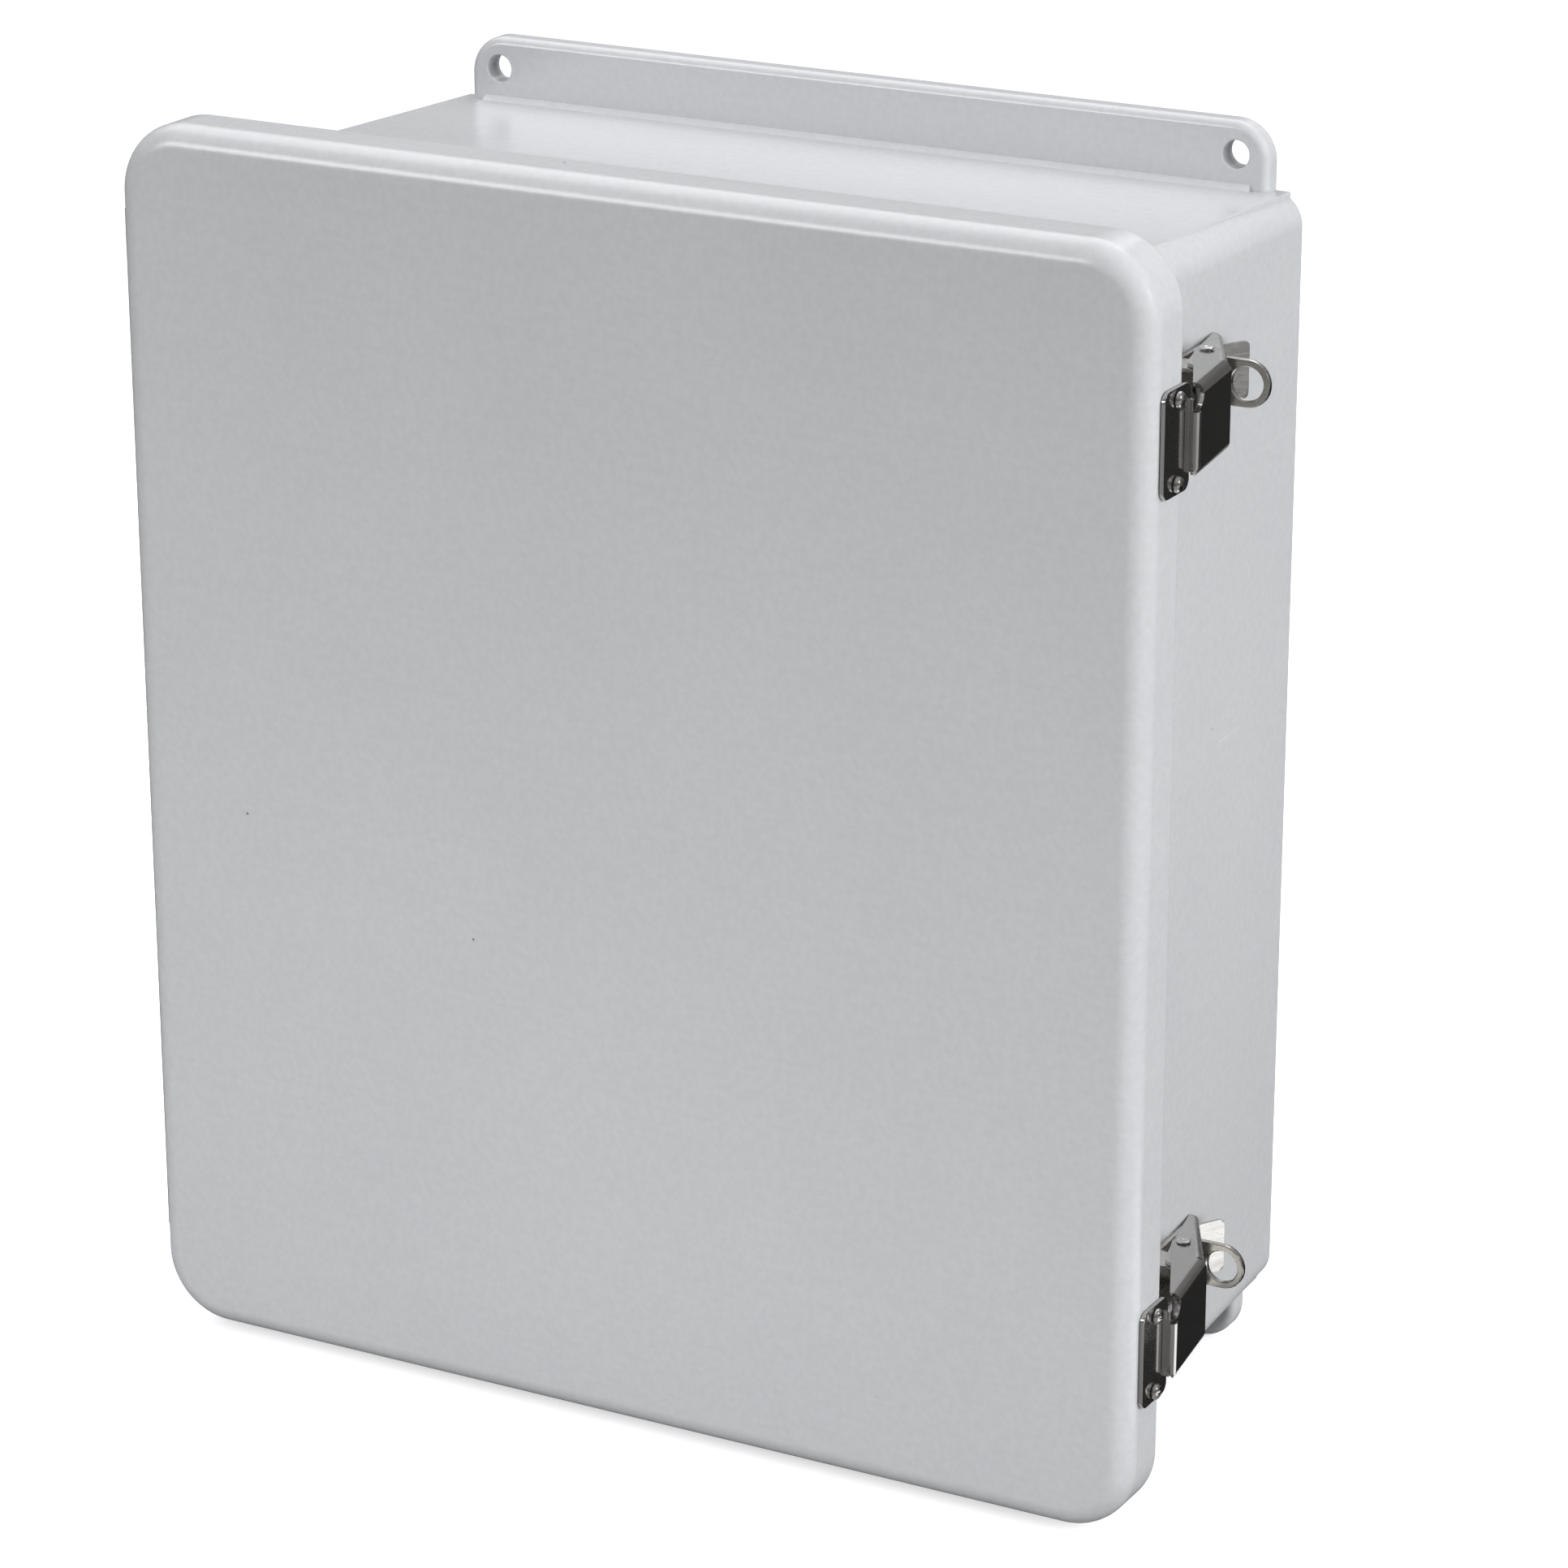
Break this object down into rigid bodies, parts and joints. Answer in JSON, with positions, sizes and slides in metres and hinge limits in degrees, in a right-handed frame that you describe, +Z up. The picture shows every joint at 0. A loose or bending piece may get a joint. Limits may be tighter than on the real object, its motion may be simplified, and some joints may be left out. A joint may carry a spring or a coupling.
{
  "type": "hinged cover wall enclosure",
  "caption": "Wall-mounted moulded electrical enclosure with a hinged overlapping cover, lockable toggle latches on the side and screw flanges at top and bottom.",
  "frame": {"origin": "centre of the flat back face that lies on the wall", "axes": "+Z up, -Y out of the wall towards the cover's front, +X to the right as one faces the cover (the latch side)"},
  "size_m": [0.3491, 0.1543, 0.392],
  "materials": {
    "shell": "light grey glass-fibre moulding, satin, faint scuffed hairlines",
    "latch_mirror": "bright mirror-like stainless sheet",
    "stainless_sheet": "satin stainless sheet",
    "stainless_fastener": "bright stainless",
    "gasket": "closed-cell black foam rubber",
    "brass": "turned brass",
    "panel_paint": "white powder coat"
  },
  "bodies": {
    "enclosure": {"enclosure_body": "shell", "hinge_leaf_body": "stainless_sheet", "hinge_pin": "stainless_fastener", "hinge_rivet_body_1": "stainless_fastener", "hinge_rivet_body_2": "stainless_fastener", "hinge_rivet_body_3": "stainless_fastener", "hinge_rivet_body_4": "stainless_fastener", "hinge_rivet_body_5": "stainless_fastener", "upper_latch_base": "stainless_sheet", "upper_lever_pin": "stainless_fastener", "upper_base_rivet_1": "stainless_fastener", "upper_base_rivet_2": "stainless_fastener", "lower_latch_base": "stainless_sheet", "lower_lever_pin": "stainless_fastener", "lower_base_rivet_1": "stainless_fastener", "lower_base_rivet_2": "stainless_fastener", "back_panel": "panel_paint", "panel_insert_1": "brass", "panel_screw_1": "stainless_fastener", "panel_insert_2": "brass", "panel_screw_2": "stainless_fastener", "panel_insert_3": "brass", "panel_screw_3": "stainless_fastener", "panel_insert_4": "brass", "panel_screw_4": "stainless_fastener"},
    "cover_assembly": {"cover": "shell", "cover_gasket": "gasket", "hinge_leaf_cover": "stainless_sheet", "hinge_rivet_cover_1": "stainless_fastener", "hinge_rivet_cover_2": "stainless_fastener", "hinge_rivet_cover_3": "stainless_fastener", "hinge_rivet_cover_4": "stainless_fastener", "hinge_rivet_cover_5": "stainless_fastener", "upper_keeper": "latch_mirror", "upper_keeper_screw_1": "stainless_fastener", "upper_keeper_screw_2": "stainless_fastener", "lower_keeper": "latch_mirror", "lower_keeper_screw_1": "stainless_fastener", "lower_keeper_screw_2": "stainless_fastener"},
    "upper_lever": {"upper_latch_lever": "stainless_sheet", "upper_hook_pin": "stainless_fastener"},
    "upper_hook": {"upper_latch_hook": "latch_mirror"},
    "lower_lever": {"lower_latch_lever": "stainless_sheet", "lower_hook_pin": "stainless_fastener"},
    "lower_hook": {"lower_latch_hook": "latch_mirror"}
  },
  "joints": [
    {"name": "cover_hinge", "type": "hinge", "parent": "enclosure", "child": "cover_assembly", "pos_m": [-0.1723, -0.1324, 0], "axis": [0, 0, -1], "range_deg": [0, 180]},
    {"name": "upper_lever_pivot", "type": "hinge", "parent": "enclosure", "child": "upper_lever", "pos_m": [0.16, -0.1003, 0.137], "axis": [0, 0, -1], "range_deg": [0, 100]},
    {"name": "upper_hook_pivot", "type": "hinge", "parent": "upper_lever", "child": "upper_hook", "pos_m": [0.1575, -0.0913, 0.137], "axis": [0, 0, 1], "range_deg": [0, 120]},
    {"name": "lower_lever_pivot", "type": "hinge", "parent": "enclosure", "child": "lower_lever", "pos_m": [0.16, -0.1003, -0.137], "axis": [0, 0, -1], "range_deg": [0, 100]},
    {"name": "lower_hook_pivot", "type": "hinge", "parent": "lower_lever", "child": "lower_hook", "pos_m": [0.1575, -0.0913, -0.137], "axis": [0, 0, 1], "range_deg": [0, 120]}
  ],
  "couplings": [
    {"joint": "upper_hook_pivot", "follows": "upper_lever_pivot", "ratio": 1.2},
    {"joint": "lower_hook_pivot", "follows": "lower_lever_pivot", "ratio": 1.2}
  ]
}
